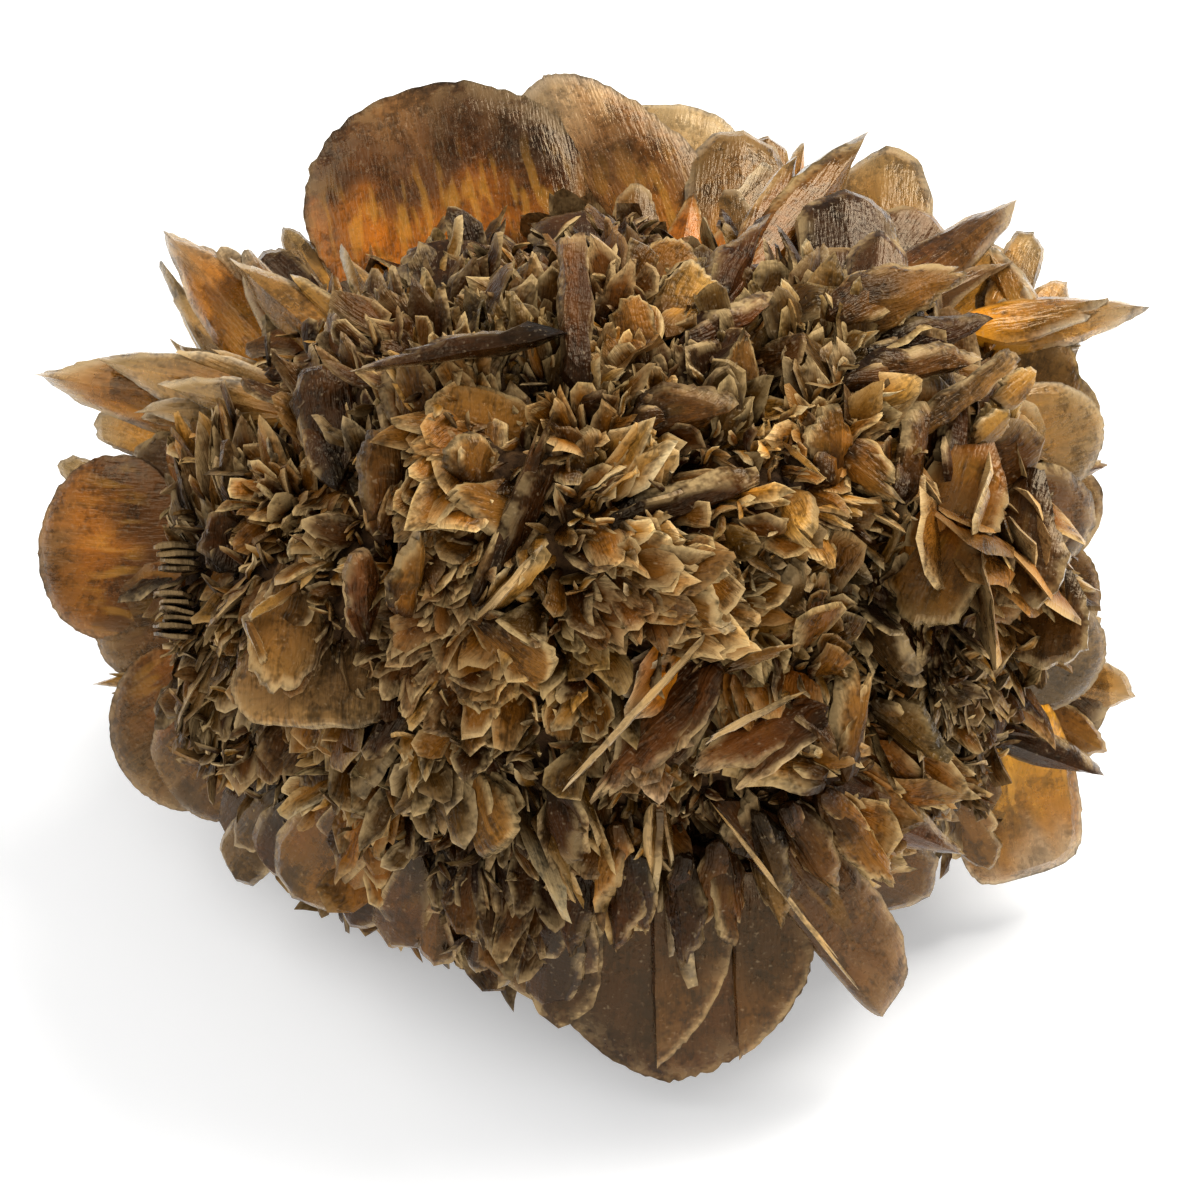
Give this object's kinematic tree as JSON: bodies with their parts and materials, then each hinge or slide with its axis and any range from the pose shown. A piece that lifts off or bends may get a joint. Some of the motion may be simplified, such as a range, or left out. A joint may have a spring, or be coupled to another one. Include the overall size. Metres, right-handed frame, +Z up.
{
  "type": "selenite specimen",
  "caption": "Egg-shaped cluster of brown, clear-edged selenite blades and small crystal roses, resting on a flat break.",
  "frame": {"origin": "on the flat break the cluster rests on, under the middle of its core", "axes": "+Z up; the display side looks towards -Y and up; +X is to the right of someone facing the display side"},
  "size_m": [0.1126, 0.0979, 0.0723],
  "materials": {
    "brown_selenite": "satin"
  },
  "bodies": {
    "root": {"selenite_cluster": "brown_selenite"}
  },
  "joints": []
}
